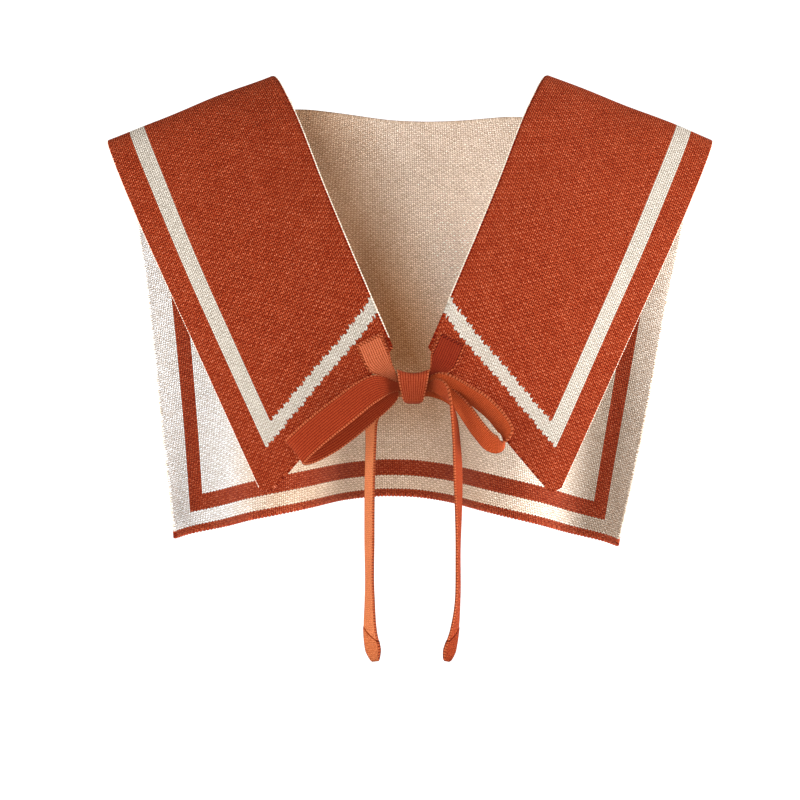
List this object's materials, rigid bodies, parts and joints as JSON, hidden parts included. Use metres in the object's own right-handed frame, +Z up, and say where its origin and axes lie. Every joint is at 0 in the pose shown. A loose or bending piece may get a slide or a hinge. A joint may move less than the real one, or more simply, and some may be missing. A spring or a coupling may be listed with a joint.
{
  "type": "sailor collar",
  "caption": "Knitted sailor collar with a square back, two front panels over the shoulders and flat ties in a bow.",
  "frame": {"origin": "middle of the neck opening, level with the tops of the two shoulder ridges", "axes": "+Z up, +X to the viewer's right as the collar is seen from the front, the front faces -Y"},
  "size_m": [0.4172, 0.2305, 0.3929],
  "materials": {
    "collar_knit": "matte",
    "collar_knit_inside": "matte",
    "tie_knit": "matte"
  },
  "bodies": {
    "root": {"collar_body": "collar_knit", "tie_root_left": "tie_knit", "tie_root_right": "tie_knit", "bow_knot": "tie_knit", "bow_loop_left": "tie_knit", "bow_loop_right": "tie_knit", "tie_tail_left": "tie_knit", "tie_tail_right": "tie_knit"}
  },
  "joints": []
}
